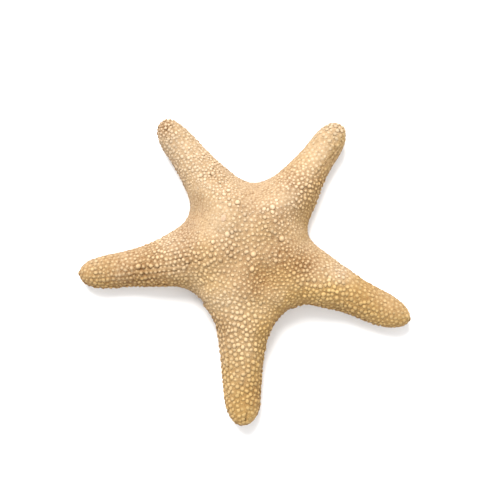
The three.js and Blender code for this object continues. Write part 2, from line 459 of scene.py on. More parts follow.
# A ray near a curled tip can start outside the body, and the plate that it places is dropped.
plates = plates[np.bincount(owners(plates, cloud), minlength=len(plates)) > LEAST_POINTS]
plate_reach, plate_facing = areas_of(plates, cloud, cloud_facing)
plate_plan = plates[:, :2] - DISC_CENTRE
plate_arm, plate_out, plate_side = place_on_arms(plate_plan)

# The skin rises in a low mound over each plate. How deep in a gap each place lies darkens its colour:
# painted shade, with some real dust.
MOUND_HEIGHT = 0.24  # mm, on a plate of ordinary size
ORDINARY_REACH = 1.13  # mm
GAP_REACH = 1.2  # of a plate's reach, to the bottom of the gap beside it
MOUNDS_END = -0.6  # the slope of the sides at which they stop, as the height of the normal
SOLE_CREVICE = 0.6  # the depth of gap that shades the underside


def crevice_at(place):
    """The plate nearest to a place, how far away it is, and how deep in its gap the place lies."""
    _, k, distance = plate_tree.find(place)
    return k, distance, min(1.0, distance / (GAP_REACH * plate_reach[k]))


def mound_share(crevice):
    return 1 - smoothstep(crevice, 0.1, 1.0)


plate_worn = worn_at(plate_plan)
plate_mound = MOUND_HEIGHT * plate_worn * plate_reach / ORDINARY_REACH
plate_tree = tree_of(plates)
crevice = np.full(len(at), SOLE_CREVICE)
mound = np.zeros(len(at))
for i in np.nonzero(facing[:, 2] > MOUNDS_END)[0]:
    k, _, crevice[i] = crevice_at(at[i])
    mound[i] = plate_mound[k]
mound *= smoothstep(facing[:, 2], MOUNDS_END, -0.2)
at = at + facing * (mound * mound_share(crevice))[:, None]
skin_mesh.vertices.foreach_set("co", (at * MM).ravel())
skin_mesh.polygons.foreach_set("use_smooth", [True] * len(skin_mesh.polygons))
skin_mesh.update()


# Colour of the skin and its beads by place: x, y, radius and how much. The honey share is the hide's
# honey colour, and painted shade on the sides that face right and down. The dark patches table marks
# where gaps and beads are darker; the outline and the sides facing down get painted shade on top.
GOLD = [
    (30, -20, 11, 0.35), (39, -20, 9, 0.3), (14, -11, 10, 0.2), (-76, -12, 6, 0.4),
    (-4, -42, 12, -0.1), (-13, 10, 12, -0.15), (-34, 46, 14, -0.3), (20, 30, 9, -0.1),
    (28, -6, 9, -0.45), (-6, 23, 9, -0.2), (14, 23, 8, -0.2), (-28, -6, 9, 0.3),
    (-2, -38, 10, -0.15), (6, -68, 6, 0.7), (9, -54, 6, 0.25), (28, -25, 7, 0.5),
    (42, -26, 6, 0.3), (57, -27, 9, 0.15), (22, -8, 6, 0.3), (-70, -16, 6, 0.35),
    (-1, 21, 9, -0.3), (12.5, 7.7, 5, -0.35), (-15, 8, 7, -0.25), (-30, 1, 8, -0.4),
    (-18.5, 39, 9, -0.3), (34, -24, 7, 0.3), (40, -11, 7, -0.45), (2.5, -73, 6, 0.6),
    (-46, -15, 8, 0.1), (-14, -24, 9, -0.25), (10, -28, 7, -0.35), (24, -27, 5, 0.3),
    (3, -50, 7, -0.3), (3, -62, 7, -0.25), (-57, -8, 9, -0.2), (-72, -7, 6, -0.25),
    (62, -23, 9, -0.15), (74, -33, 5, -0.4), (29, -16, 7, -0.15), (33, 40, 10, -0.15),
    (0, 26, 10, -0.35), (41, -11, 6, -0.3), (-31, -12, 6, -0.3), (19, -31, 5, 0.4),
    (52, -25, 8, 0.2), (-62, -10, 8, 0.2), (-20, 0, 6, 0.15), (-36, 3, 8, -0.25),
    (31, -19, 6, -0.3), (10, -4, 5, -0.2), (18, 18, 6, -0.3), (-16, 31, 8, -0.2),
    (-28, 8, 8, -0.25),
]
DARK_PATCHES = [
    (-45, -13, 12, 0.25), (-33, -11, 6, -0.2), (-22, 18, 8, 0.1), (-26, 8, 7, 0.15),
    (33, -21, 8, -0.25), (55, -34, 6, -0.15), (15, -1, 5, 0.2), (20, 12, 5, 0.15),
    (3, -14, 6, 0.12), (-46, -6, 8, 0.12), (34, 29, 5, 0.2), (19, 33, 8, 0.1),
    (43, 46, 4, -0.25), (-40, 47, 5, -0.2), (-30, 22, 5, -0.2), (13, -33, 5, 0.3),
    (-2, -28, 6, -0.2), (60, -27, 6, 0.2), (41, 48, 4, -0.3), (-27, -6, 8, 0.15),
    (1, 22, 8, 0.1), (12, 13, 5, 0.25), (7, -17, 6, 0.2), (25, -7, 8, 0.1),
    (-14, -34, 6, 0.4), (-34, -17, 6, 0.2), (22, -29, 5, 0.25), (55, -34, 8, -0.15),
    (74, -33, 6, -0.25), (0, -77, 5, -0.25), (-11, -62, 6, -0.2), (-24, -14, 8, -0.25),
    (-12, -25, 8, -0.38), (8, -28, 7, -0.3), (18, -20, 8, -0.25), (-2, -47, 7, -0.25),
    (18, 32, 8, 0.25), (-29, 8, 6, 0.3), (31, 22, 7, 0.05), (-28, -5, 8, 0.25),
    (22, -8, 6, 0.25), (-50, -6, 12, 0.22), (0, 22, 9, 0.18), (5, -68, 6, 0.3),
    (-14, 33, 5, 0.2), (13, -6, 12, 0.4), (27, -8, 8, 0.3), (0, -18, 8, 0.3),
    (53, -19, 9, 0.3), (20, 28, 7, 0.25), (-10, -3, 8, 0.25), (-39, 53, 5, 0.6),
    (-60, -14, 8, 0.15), (-60, -4, 9, 0.3), (-74, -11, 6, 0.3), (3, 26, 9, 0.2),
    (-24, 17, 8, 0.15), (68, -27, 8, 0.2), (27, 24, 6, 0.05), (34, 32, 7, 0.1),
]


def blots(plan, table):
    total = np.zeros(len(plan))
    for x, y, radius, amount in table:
        total += amount * patch(plan, x, y, radius)
    return total


def gold_at(plan, facing):
    # Painted shade: sides that face right and down, away from the key light, get more of the darker
    # golden colour; the drift makes it more golden towards the bottom and right.
    away = 0.7 * facing[:, 0] - 0.7 * facing[:, 1]
    drift = 0.42 - 0.0062 * (plan[:, 1] - 8) + 0.002 * plan[:, 0]
    return np.clip(drift + 0.5 * smoothstep(away, 0.15, 0.85) + blots(plan, GOLD), 0, 1)


def soil_at(plan, facing):
    # Painted shade: a dark rim where the surface turns sideways at the outline, and darker sides that
    # face down, away from the key light.
    rim_shade = 1 - smoothstep(facing[:, 2], -0.1, 0.32)
    under = smoothstep(-facing[:, 1], 0.1, 0.9) * (1 - smoothstep(facing[:, 2], 0.0, 0.6))
    bare = 0.22 * (1 - worn_at(plan))
    return np.clip(0.19 + 0.75 * rim_shade + 0.4 * under + blots(plan, DARK_PATCHES) - bare, -0.2, 1)


def paint(mesh, **columns):
    """Gives a mesh one named number for each of its points."""
    for key, values in columns.items():
        mesh.attributes.new(key, "FLOAT", "POINT").data.foreach_set("value", values)


# The furrows and cracks are darkened too, as painted shade in them.
paint(skin_mesh, crevice=crevice, gold=gold_at(plan, facing), soil=soil_at(plan, facing) + 0.8 * cut)


def linear(hex_colour):
    parts = [int(hex_colour[i : i + 2], 16) / 255 for i in (1, 3, 5)]
    return (*[p / 12.92 if p <= 0.04045 else ((p + 0.055) / 1.055) ** 2.4 for p in parts], 1.0)


def wire(tree, start, end):
    """Feeds a socket from another socket, or sets it to a plain value."""
    if isinstance(start, bpy.types.NodeSocket):
        tree.links.new(start, end)
    else:
        end.default_value = start


def node(tree, kind, sockets=None, **settings):
    """A new node with its settings, whose sockets are then fed by name or number."""
    made = tree.nodes.new(kind)
    for key, value in settings.items():
        setattr(made, key, value)
    for socket, value in (sockets or {}).items():
        wire(tree, value, made.inputs[socket])
    return made


def maths(tree, operation, *values, clamp=False):
    sockets = dict(enumerate(values))
    return node(tree, "ShaderNodeMath", sockets, operation=operation, use_clamp=clamp).outputs[0]


def blended(tree, share, a, b, mode="MIX"):
    """A colour between a and b. Sockets 6, 7 and 2 are the ones for colours."""
    sockets = {0: share, 6: a, 7: b}
    return node(tree, "ShaderNodeMix", sockets, data_type="RGBA", blend_type=mode).outputs[2]


def noise(tree, where, scale, detail=3.0, rough=0.55):
    """Noise with so many lumps to the metre."""
    sockets = {"Vector": where, "Scale": scale, "Detail": detail, "Roughness": rough}
    return node(tree, "ShaderNodeTexNoise", sockets).outputs["Fac"]


def ranged(tree, value, low, high, to_low=0.0, to_high=1.0):
    sockets = {"Value": value, "From Min": low, "From Max": high, "To Min": to_low, "To Max": to_high}
    return node(tree, "ShaderNodeMapRange", sockets, clamp=True).outputs["Result"]


def sockets_of(tree, in_out, kind, *names):
    for name in names:
        tree.interface.new_socket(name, in_out=in_out, socket_type="NodeSocket" + kind)


PATCHES_PER_M = 60
MOTTLES_PER_M = 420
GRAINS_PER_M = 2600


def dried_finish():
    """Colour, roughness and grain of the dried hide: pale where it has bleached, honey in places and as
    painted shade on the sides turned from the key light, and brown in the gaps and at each knob's foot,
    which is painted shade with some old dust. Depth is 0 on a bead's top and 1 in a gap."""
    group = bpy.data.node_groups.new("dried_finish", "ShaderNodeTree")
    sockets_of(group, "INPUT", "Color", "Pale", "Golden", "Dust_and_shade")
    sockets_of(group, "INPUT", "Float", "Depth", "Tone", "Gold_and_shade", "Soil_and_shade", "Grain")
    sockets_of(group, "OUTPUT", "Color", "Color")
    sockets_of(group, "OUTPUT", "Float", "Roughness", "Height")
    given = node(group, "NodeGroupInput").outputs
    result = node(group, "NodeGroupOutput").inputs
    where = node(group, "ShaderNodeTexCoord").outputs["Object"]
    patches = noise(group, where, PATCHES_PER_M)
    drift = maths(group, "MULTIPLY_ADD", maths(group, "SUBTRACT", patches, 0.5), 0.9, given["Gold_and_shade"])
    golden = ranged(group, drift, 0.0, 1.0)
    body = blended(group, golden, given["Pale"], given["Golden"])
    mottle = noise(group, where, MOTTLES_PER_M, 4.0, 0.65)
    lighter = ranged(group, mottle, 0.3, 0.7, 0.9, 1.08)
    toned = maths(group, "MULTIPLY_ADD", given["Tone"], 0.07, lighter)
    shade = node(group, "ShaderNodeCombineColor", {0: toned, 1: toned, 2: toned})
    body = blended(group, 1.0, body, shade.outputs[0], "MULTIPLY")
    # Painted shade: the deeper a place lies in a gap or down a knob's foot, the more of the dark colour
    # it gets.
    deep = maths(group, "POWER", given["Depth"], 1.5, clamp=True)
    ragged = maths(group, "MULTIPLY", deep, ranged(group, mottle, 0.25, 0.75, 0.75, 1.15), clamp=True)
    dirt_and_shade = maths(group, "MULTIPLY_ADD", given["Soil_and_shade"], 0.75, 0.3)
    dust_and_shade_share = maths(group, "MULTIPLY", ragged, dirt_and_shade, clamp=True)
    dust_and_shade_share = maths(group, "MULTIPLY_ADD", given["Soil_and_shade"], 0.18, dust_and_shade_share, clamp=True)
    wire(group, blended(group, dust_and_shade_share, body, given["Dust_and_shade"]), result["Color"])
    grain = noise(group, where, GRAINS_PER_M, 3.0, 0.7)
    wire(group, ranged(group, grain, 0.25, 0.75, 0.62, 0.88), result["Roughness"])
    wire(group, maths(group, "MULTIPLY", grain, given["Grain"]), result["Height"])
    return group


dried = dried_finish()


def dried_material(name, pale, golden, dust_and_shade, depth, tone=None, grain=1.0):
    """The dried finish in three colours. depth and tone are names of attributes on the mesh."""
    made = bpy.data.materials.new(name)
    made.use_nodes = True
    tree = made.node_tree
    coat = node(tree, "ShaderNodeGroup", node_tree=dried)
    for socket, colour in (("Pale", pale), ("Golden", golden), ("Dust_and_shade", dust_and_shade)):
        coat.inputs[socket].default_value = linear(colour)
    coat.inputs["Grain"].default_value = grain
    for socket, attribute in (("Depth", depth), ("Tone", tone), ("Gold_and_shade", "gold"), ("Soil_and_shade", "soil")):
        if attribute is not None:
            read = node(tree, "ShaderNodeAttribute", attribute_name=attribute)
            wire(tree, read.outputs["Fac"], coat.inputs[socket])
    sockets = {"Strength": 0.12, "Distance": 0.1 * MM, "Height": coat.outputs["Height"]}
    relief = node(tree, "ShaderNodeBump", sockets)
    shader = tree.nodes["Principled BSDF"].inputs
    shader["Specular IOR Level"].default_value = 0.28
    wire(tree, coat.outputs["Color"], shader["Base Color"])
    wire(tree, coat.outputs["Roughness"], shader["Roughness"])
    wire(tree, relief.outputs["Normal"], shader["Normal"])
    return made


skin_mesh.materials.clear()
skin_mesh.materials.append(dried_material("dried_hide", "#b79d7b", "#a7854f", "#714b23", "crevice"))
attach(skin, "root")
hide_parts("starfish")


# ------------------------------
# The beads of the back: each plate of the skeleton carries one blunt chalky knob that stands
# through the hide. They grew with the animal, larger along the ridges and fine in the webs.

LUMPS_PER_M = 850  # of the unevenness of all knobs
BEAD_HEIGHT = 0.32  # mm, on a plate of ordinary size
BEAD_SHARE = (0.68, 0.8)  # of a plate's reach, on the disc and on the arms
BEAD_SINK = 0.15
BEAD_GIRTH = (0.32, 1.1)  # mm, the least and the most
LEAST_RISE = 0.08  # mm, in a worn patch
LARGE_GIRTH = 0.85  # of its radius in LARGE_PLATES
LARGE_RISE = 0.7
LARGE_TONE = 2.6
# Patches where the beads stand prouder and whiter: x, y, radius and how much.
PROUD = [
    (24, 28, 9, 1), (-36, 54, 4, 0.5), (-45, -9, 9, 0.25), (-3, -36, 10, 0.25),
    (-18, 4, 7, 0.2), (-14, 24, 6, 0.3), (-37.5, 53, 2, 0.8),
]


def read_attribute(tree, name, kind="FLOAT"):
    made = node(tree, "GeometryNodeInputNamedAttribute", {"Name": name}, data_type=kind)
    return made.outputs["Attribute"]


def knob_tree():
    """A tree that sets one knob on each point. A knob starts as a cone, which is rounded into a dome
    with a flared foot. The point's facing turns it, girth and rise size it, and depth is kept for
    the material. Fullness rounds its shoulder, and Crowding packs its rings towards the foot."""
    tree = bpy.data.node_groups.new("knobs_on_plates", "GeometryNodeTree")
    sockets_of(tree, "OUTPUT", "Geometry", "Geometry")
    sockets_of(tree, "INPUT", "Geometry", "Geometry")
    sockets_of(tree, "INPUT", "Int", "Sides", "Rings")
    sockets_of(tree, "INPUT", "Float", "Fullness", "Crowding", "Unevenness")
    sockets_of(tree, "INPUT", "Material", "Finish")
    given = node(tree, "NodeGroupInput").outputs

    sockets = {"Vertices": given["Sides"], "Side Segments": given["Rings"]}
    sockets.update({"Radius Top": 0, "Radius Bottom": 1, "Depth": 1})
    cone = node(tree, "GeometryNodeMeshCone", sockets, fill_type="NGON")
    where = node(tree, "GeometryNodeInputPosition").outputs[0]
    axes = node(tree, "ShaderNodeSeparateXYZ", {0: where}).outputs
    radius = maths(tree, "SUBTRACT", 1.0, axes["Z"], clamp=True)
    ring = maths(tree, "POWER", radius, given["Crowding"])
    swell = maths(tree, "DIVIDE", ring, maths(tree, "MAXIMUM", radius, 0.001))
    fall = maths(tree, "SUBTRACT", 1.0, maths(tree, "MULTIPLY", ring, ring), clamp=True)
    sockets = {
        0: maths(tree, "MULTIPLY", axes["X"], swell),
        1: maths(tree, "MULTIPLY", axes["Y"], swell),
        2: maths(tree, "POWER", fall, given["Fullness"]),
    }
    shaped = node(tree, "ShaderNodeCombineXYZ", sockets)
    sockets = {"Geometry": cone.outputs["Mesh"], "Name": "depth", "Value": ring}
    depth = node(tree, "GeometryNodeStoreNamedAttribute", sockets, data_type="FLOAT", domain="POINT")
    sockets = {"Geometry": depth.outputs[0], "Position": shaped.outputs[0]}
    dome = node(tree, "GeometryNodeSetPosition", sockets)
    smooth = node(tree, "GeometryNodeSetShadeSmooth", {"Geometry": dome.outputs[0]})

    facing = read_attribute(tree, "facing", "FLOAT_VECTOR")
    stand = node(tree, "FunctionNodeAlignRotationToVector", {"Vector": facing}, axis="Z")
    sockets = {"Axis": (0, 0, 1), "Angle": read_attribute(tree, "turn")}
    turn = node(tree, "FunctionNodeAxisAngleToRotation", sockets)
    sockets = {"Rotation": stand.outputs[0], "Rotate By": turn.outputs[0]}
    both = node(tree, "FunctionNodeRotateRotation", sockets, rotation_space="LOCAL")
    girth = read_attribute(tree, "girth")
    longer = maths(tree, "MULTIPLY", girth, read_attribute(tree, "stretch"))
    size = node(tree, "ShaderNodeCombineXYZ", {0: longer, 1: girth, 2: read_attribute(tree, "rise")})
    sockets = {
        "Points": given["Geometry"],
        "Instance": smooth.outputs[0],
        "Rotation": both.outputs[0],
        "Scale": size.outputs[0],
    }
    set_out = node(tree, "GeometryNodeInstanceOnPoints", sockets)
    real = node(tree, "GeometryNodeRealizeInstances", {0: set_out.outputs[0]})

    lumps = node(tree, "ShaderNodeTexNoise", {"Scale": LUMPS_PER_M, "Detail": 1})
    sockets = {0: lumps.outputs["Color"], 1: (0.5, 0.5, 0.5)}
    centred = node(tree, "ShaderNodeVectorMath", sockets, operation="SUBTRACT")
    sockets = {0: centred.outputs[0], "Scale": given["Unevenness"]}
    shift = node(tree, "ShaderNodeVectorMath", sockets, operation="SCALE")
    sockets = {"Geometry": real.outputs[0], "Offset": shift.outputs[0]}
    uneven = node(tree, "GeometryNodeSetPosition", sockets)
    sockets = {"Geometry": uneven.outputs[0], "Material": given["Finish"]}
    finish = node(tree, "GeometryNodeSetMaterial", sockets)
    node(tree, "NodeGroupOutput", {0: finish.outputs[0]})
    return tree


KNOBS = knob_tree()


def grown(name, points, finish, knob, **columns):
    """Sets a knob of one shape on each of the points, in mm, and returns them all as one plain
    object. The columns hold a number or a vector for every point."""
    mesh = bpy.data.meshes.new(name + "_points")
    mesh.from_pydata((points * MM).tolist(), [], [])
    for key, values in columns.items():
        values = np.asarray(values, float)
        kind, field = ("FLOAT_VECTOR", "vector") if values.ndim == 2 else ("FLOAT", "value")
        mesh.attributes.new(key, kind, "POINT").data.foreach_set(field, values.ravel())
    holder = in_scene(name + "_points", mesh)
    growth = holder.modifiers.new("growth", "NODES")
    growth.node_group = KNOBS
    given = dict(knob, Finish=finish)
    for item in KNOBS.interface.items_tree:
        if item.in_out == "INPUT" and item.name in given:
            growth[item.identifier] = given[item.name]
    piece = in_scene(name, evaluated_mesh(holder, name))
    bpy.data.objects.remove(holder)
    bpy.data.meshes.remove(mesh)
    return piece


rng = np.random.default_rng(23)
is_large = np.arange(len(plates)) < len(LARGE_PLATES)
ridge = np.exp(-((plate_side / 4.5) ** 2)) * smoothstep(plate_out, 8, 20)
size_spread = rng.lognormal(0, 0.16, len(plates)) * (0.94 + 0.16 * ridge)
share = BEAD_SHARE[0] + (BEAD_SHARE[1] - BEAD_SHARE[0]) * smoothstep(plate_out, 22, 38)
bead_girth = np.clip(plate_reach * share * size_spread, *BEAD_GIRTH)
proud = blots(plate_plan, PROUD)
bead_rise = BEAD_HEIGHT * (1 + proud) * (bead_girth / 0.8) * rng.lognormal(0, 0.18, len(plates))
bead_rise *= plate_worn**1.5
bead_rise *= 1 - 0.35 * web_share(plate_plan)
in_crack = np.clip(1.3 * crack_depth(plate_plan, plate_arm, plate_out, plate_side), 0, 1)
bead_girth *= (1 - 0.4 * in_crack) * (0.72 + 0.28 * plate_worn)
bead_rise *= 1 - 0.6 * in_crack
bead_rise = np.maximum(bead_rise, LEAST_RISE)
bead_girth[is_large] = [LARGE_GIRTH * radius for _, _, radius in LARGE_PLATES]
bead_rise[is_large] = LARGE_RISE
bead_tone = rng.normal(0, 1, len(plates)) + 0.6 * ridge + 2.5 * proud
bead_tone -= 1.3 * smoothstep(plate_out, 35, 65) + 1.5 * (1 - plate_worn)
bead_tone[is_large] = LARGE_TONE
bead_finish = dried_material("chalky_bead", "#c5b093", "#bc9d66", "#845b2f", "depth", "tone", grain=0.8)
beads = grown(
    "back_beads",
    plates + plate_facing * (plate_mound - BEAD_SINK)[:, None],
    bead_finish,
    dict(Sides=9, Rings=3, Fullness=1.1, Crowding=0.8, Unevenness=0.6 * MM),
    facing=plate_facing,
    girth=bead_girth * MM,
    rise=(bead_rise + BEAD_SINK) * MM,
    stretch=rng.uniform(1.0, 1.25, len(plates)),
    turn=rng.uniform(0, 2 * math.pi, len(plates)),
    tone=bead_tone,
    gold=gold_at(plate_plan, plate_facing),
    # Beads in cracks are darker, as painted shade.
    soil=soil_at(plate_plan, plate_facing) + 0.3 * in_crack,
)
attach(beads, "root")
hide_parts("starfish")


# ------------------------------
# The grit of the back: grains of the same chalk, some half a millimetre across, that lie in the
# hide between the beads and make it rough to the touch.

GRIT_GAP = 0.62
GRIT_CLEAR = (0.85, 0.25)  # of the nearest bead's girth, and mm more, where no grit lies
GRIT_REACH = (0.2, 0.34)
GRIT_RISE = (0.14, 0.3)
GRIT_SINK = 0.08
rng = np.random.default_rng(37)
clear = np.zeros(len(cloud), bool)
bedded = np.zeros(len(cloud))
for i, p in enumerate(cloud):
    k, distance, depth = crevice_at(p)
    clear[i] = distance > GRIT_CLEAR[0] * bead_girth[k] + GRIT_CLEAR[1]
    bedded[i] = mound_share(depth) * plate_mound[k]
clear = np.nonzero(clear)[0]
clear = clear[rng.permutation(len(clear))]
clear = clear[spread_out(cloud[clear], np.full(len(clear), GRIT_GAP))]
grit_facing = cloud_facing[clear]
grit_plan = cloud_plan[clear]
grit_finish = dried_material("chalky_grit", "#c1a98a", "#b4945e", "#714b24", "depth", "tone", grain=0.6)
grit = grown(
    "back_grit",
    cloud[clear] + grit_facing * (bedded[clear] - GRIT_SINK)[:, None],
    grit_finish,
    dict(Sides=5, Rings=2, Fullness=0.8, Crowding=0.9, Unevenness=0.4 * MM),
    facing=grit_facing,
    girth=rng.uniform(*GRIT_REACH, len(clear)) * MM,
    rise=(rng.uniform(*GRIT_RISE, len(clear)) + GRIT_SINK) * MM,
    stretch=rng.uniform(1.0, 1.5, len(clear)),
    turn=rng.uniform(0, 2 * math.pi, len(clear)),
    tone=rng.normal(0, 1, len(clear)),
    gold=gold_at(grit_plan, grit_facing),
    soil=soil_at(grit_plan, grit_facing),
)
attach(grit, "root")
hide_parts("starfish")


# ------------------------------
# The granules of the underside: flat chalky grains set close together on the strips between the
# grooves and the edge, worn level because the animal walked and the dried one rests on them.

GRANULE_PITCH = 1.45
GRANULE_RISE = 0.3  # mm, which is all the room between the skin and the table
GRANULE_SINK = 0.1
GRANULE_GIRTH = (0.3, 0.8)  # mm, the least and the most
TABLE_GAP = 0.04  # mm, between the lowest granule and the table
rng = np.random.default_rng(41)
outside_groove = (at[:, 2] < 0.9) | ((np.abs(side_of) > 2.9) & (out_of > 30))
outside_groove |= (np.abs(side_of) > 6.0) & (out_of > 12)
below = (facing[:, 2] < -0.35) & outside_groove
sole, sole_facing = cloud_on(skin_mesh, at, facing, below, CLOUD_PER_MM2, rng)
sole_tree = tree_of(sole)
sole_pitch = np.full(len(sole), GRANULE_PITCH)
kept = spread_out(sole, SEED_GAP * sole_pitch)
granules = relaxed(sole[kept], sole, sole_tree, sole_pitch, rounds=2)
granule_reach, granule_facing = areas_of(granules, sole, sole_facing)
granule_girth = granule_reach * rng.uniform(0.72, 0.92, len(granules))
granule_rise = rng.uniform(0.7, 1.0, len(granules)) * GRANULE_RISE + GRANULE_SINK
granules -= granule_facing * GRANULE_SINK
room = (granules[:, 2] - TABLE_GAP) / np.maximum(-granule_facing[:, 2], 0.2)
granule_finish = dried_material(
    "worn_granule", "#cbb491", "#bfa070", "#6f4c28", "depth", "tone", grain=0.7
)
granule_piece = grown(
    "underside_granules",
    granules,
    granule_finish,
    dict(Sides=7, Rings=3, Fullness=0.5, Crowding=0.75, Unevenness=0.02 * MM),
    facing=granule_facing,
    girth=np.clip(granule_girth, *GRANULE_GIRTH) * MM,
    rise=np.minimum(granule_rise, room) * MM,
    stretch=rng.uniform(1.0, 1.2, len(granules)),
    turn=rng.uniform(0, 2 * math.pi, len(granules)),
    tone=rng.normal(0, 1, len(granules)),
    gold=np.clip(0.55 + 0.1 * rng.normal(0, 1, len(granules)), 0, 1),
    soil=np.full(len(granules), 0.35),
)
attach(granule_piece, "root")
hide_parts("starfish")


# ------------------------------
# The spines of the grooves: blunt chalky pegs in two rows down each side of every groove, hinged
# on the plates at its edge. They have dried lying over the groove, and five tufts guard the mouth.

SPINE_PITCH = 1.35
SPINE_LENGTH = 2.1
SPINE_RADIUS = 0.36
# Each row of spines: mm out from the edge of the groove, mm up, and its share of the full length.
SPINE_ROWS = ((0.0, 0.6, 1.0), (0.95, 0.07, 0.62))
SPINES_END = 5.0  # mm short of the tip
GROOVE_START = 8.0  # mm out along the arm
STRIP_AT = 4.2  # mm from the middle of a groove to the flat strip beside it
EDGE_RISE = 0.4  # mm above the strip, where a groove's edge is
EDGE_STEP = 0.15
EDGE_FARTHEST = 16.0
EDGE_RANGE = (0.6, 4.5)  # mm from its middle; where the edge lies outside, the groove has run out
BELOW = -5  # mm, clear of the underside
# The tufts at the corners of the mouth.
JAW_FAN = (-2.0, -1.2, -0.4, 0.4, 1.2, 2.0)  # mm from the middle of the tuft to each spine
JAW_LENGTH = 3.4
JAW_START = 4.0  # mm from the middle of the mouth, short of its edge
JAW_HEIGHT = 0.85  # mm above the table
JAW_SPLAY = 0.12
rng = np.random.default_rng(43)


def underside_height(x, y):
    hit = surface.ray_cast(Vector((x, y, BELOW)), Vector((0, 0, 1)))[0]
    return hit[2] if hit is not None else None


def strip_height(middle, sideways):
    """Height of the underside beside a groove."""
    return underside_height(*(middle + STRIP_AT * sideways + DISC_CENTRE))


def groove_edge(middle, sideways, level, start=0.4):
    """How far out from the middle of a groove its side comes down to the level of the strip."""
    for reach in np.arange(start, EDGE_FARTHEST, EDGE_STEP):
        height = underside_height(*(middle + reach * sideways + DISC_CENTRE))
        if height is not None and height < level + EDGE_RISE:
            return reach
    return None


spines = []
for line, along, even in LINES:
    for side in (-1, 1):
        for s in np.arange(GROOVE_START, even[-1] - SPINES_END, SPINE_PITCH):
            s = s + rng.normal(0, 0.08)
            k = int(np.searchsorted(even, s))
            sideways = side * left_of(along[k])
            level = strip_height(line[k], sideways)
            edge = groove_edge(line[k], sideways, level) if level is not None else None
            if edge is None or not EDGE_RANGE[0] < edge < EDGE_RANGE[1]:
                continue
            fade = 1 - 0.45 * smoothstep(s / even[-1], 0.6, 1.0)
            for row, (out, lift, length) in enumerate(SPINE_ROWS):
                base = line[k] + (edge + out) * sideways + 0.5 * row * SPINE_PITCH * along[k]
                lean = -sideways + along[k] * rng.normal(0.25, 0.18)
                lie = np.array([*lean, rng.normal(0.06, 0.05)])
                reach = fade * length * SPINE_LENGTH * rng.uniform(0.85, 1.1)
                reach = min(reach, edge + out + 0.3)
                lie /= np.linalg.norm(lie)
                spines.append((*base, level + lift, *lie, reach, fade * SPINE_RADIUS))
headings = sorted(math.atan2(along[5, 1], along[5, 0]) for _, along, _ in LINES)
for a, b in zip(headings, headings[1:] + [headings[0] + 2 * math.pi]):
    outward = np.array([math.cos((a + b) / 2), math.sin((a + b) / 2)])
    across = left_of(outward)
    for offset in JAW_FAN:
        root = groove_edge(offset * across, outward, SOLE_LEVEL, start=JAW_START)
        base = offset * across + (root + 0.1) * outward
        lean = -outward - JAW_SPLAY * offset * across
        lie = np.array([*lean, rng.normal(0.08, 0.03)])
        lie /= np.linalg.norm(lie)
        reach = JAW_LENGTH * (1 - 0.12 * abs(offset)) * rng.uniform(0.92, 1.05)
        spines.append((*base, JAW_HEIGHT, *lie, reach, 1.15 * SPINE_RADIUS))
spines = np.array(spines)
spine_finish = dried_material(
    "chalky_spine", "#d6c09c", "#caa975", "#7a5630", "depth", "tone", grain=0.9
)
spine_piece = grown(
    "groove_spines",
    spines[:, :3] + [*DISC_CENTRE, 0],
    spine_finish,
    dict(Sides=6, Rings=4, Fullness=0.32, Crowding=0.8, Unevenness=0.35 * MM),
    facing=spines[:, 3:6],
    girth=spines[:, 7] * rng.uniform(0.85, 1.1, len(spines)) * MM,
    rise=spines[:, 6] * MM,
    stretch=rng.uniform(1.0, 1.2, len(spines)),
    turn=rng.uniform(0, 2 * math.pi, len(spines)),
    tone=rng.normal(0.3, 1, len(spines)),
    gold=np.clip(rng.normal(0.4, 0.12, len(spines)), 0, 1),
    soil=np.full(len(spines), 0.25),
)
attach(spine_piece, "root")
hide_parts("starfish")


# ------------------------------
# The tube feet: the soft walking tubes, dried to brown leathery stubs. They hang from the roof of
# each groove in four rows, and each ends in the wrinkled cup that it gripped with.

FOOT_PITCH = 1.7
FOOT_RADIUS = 0.42
FOOT_LENGTH = 2.2
FOOT_ROWS = (-1.5, -0.55, 0.55, 1.5)  # mm to the left of the middle of the groove
FEET_END = 8.0  # mm short of the tip
LEAST_GROOVE = 1.0  # mm of depth, for a groove that still has feet
FOOT_BEDDED = 0.2  # mm that a foot reaches into the roof, and that its end stays short of the strips
rng = np.random.default_rng(47)
feet = []
for line, along, even in LINES:
    for row, sidestep in enumerate(FOOT_ROWS):
        for s in np.arange(GROOVE_START - 1, even[-1] - FEET_END, FOOT_PITCH):
            s = s + 0.5 * FOOT_PITCH * (row % 2) + rng.normal(0, 0.15)
            k = int(np.searchsorted(even, s))
            narrow = 1 - 0.5 * smoothstep(s / even[-1], 0.45, 1.0)
            left = left_of(along[k])
            plan_at = line[k] + sidestep * narrow * left
            roof = underside_height(*(plan_at + DISC_CENTRE))
            level = strip_height(line[k], left)
            if roof is None or level is None or roof - level < LEAST_GROOVE:
                continue
            lie = np.array([*(rng.normal(0, 0.3, 2)), -1.0])
            lie /= np.linalg.norm(lie)
            reach = FOOT_LENGTH * narrow * rng.uniform(0.8, 1.1)
            reach = min(reach, roof - level - FOOT_BEDDED)
            feet.append((*plan_at, roof + FOOT_BEDDED, *lie, reach, FOOT_RADIUS * narrow))
feet = np.array(feet)
foot_finish = dried_material(
    "dried_tube_foot", "#a97c4c", "#8f602f", "#4f3218", "depth", "tone", grain=1.4
)
